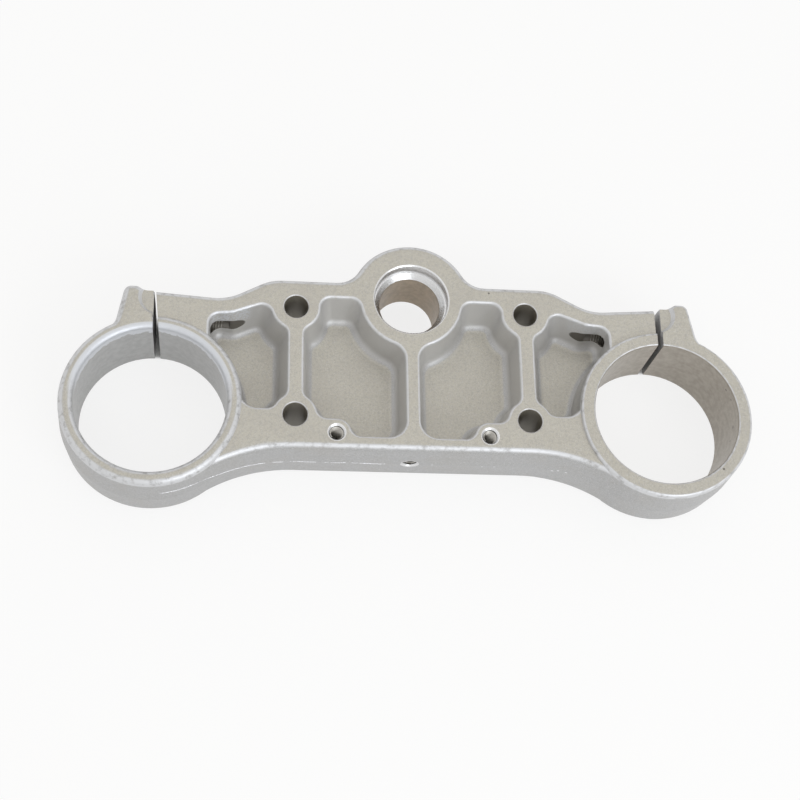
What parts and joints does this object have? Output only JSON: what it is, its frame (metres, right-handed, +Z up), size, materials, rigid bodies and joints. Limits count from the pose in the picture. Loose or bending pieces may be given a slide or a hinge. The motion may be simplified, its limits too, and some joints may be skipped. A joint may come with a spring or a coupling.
{
  "type": "motorcycle triple clamp",
  "caption": "Upper fork clamp of a motorcycle in light alloy: round clamps left and right, a stem boss at the back and a pocketed plate between them.",
  "frame": {"origin": "on the stem bore's axis, in the plane of the flat underside", "axes": "+Z up along the stem bore, out of the pocketed side; +X across to the right-hand fork clamp; +Y to the back, from the front wall towards the stem boss"},
  "size_m": [0.254, 0.0991, 0.0296],
  "materials": {
    "alloy": "satin, fine-grained forged and blasted surface with machined bores"
  },
  "bodies": {
    "root": {"triple_clamp": "alloy"}
  },
  "joints": []
}
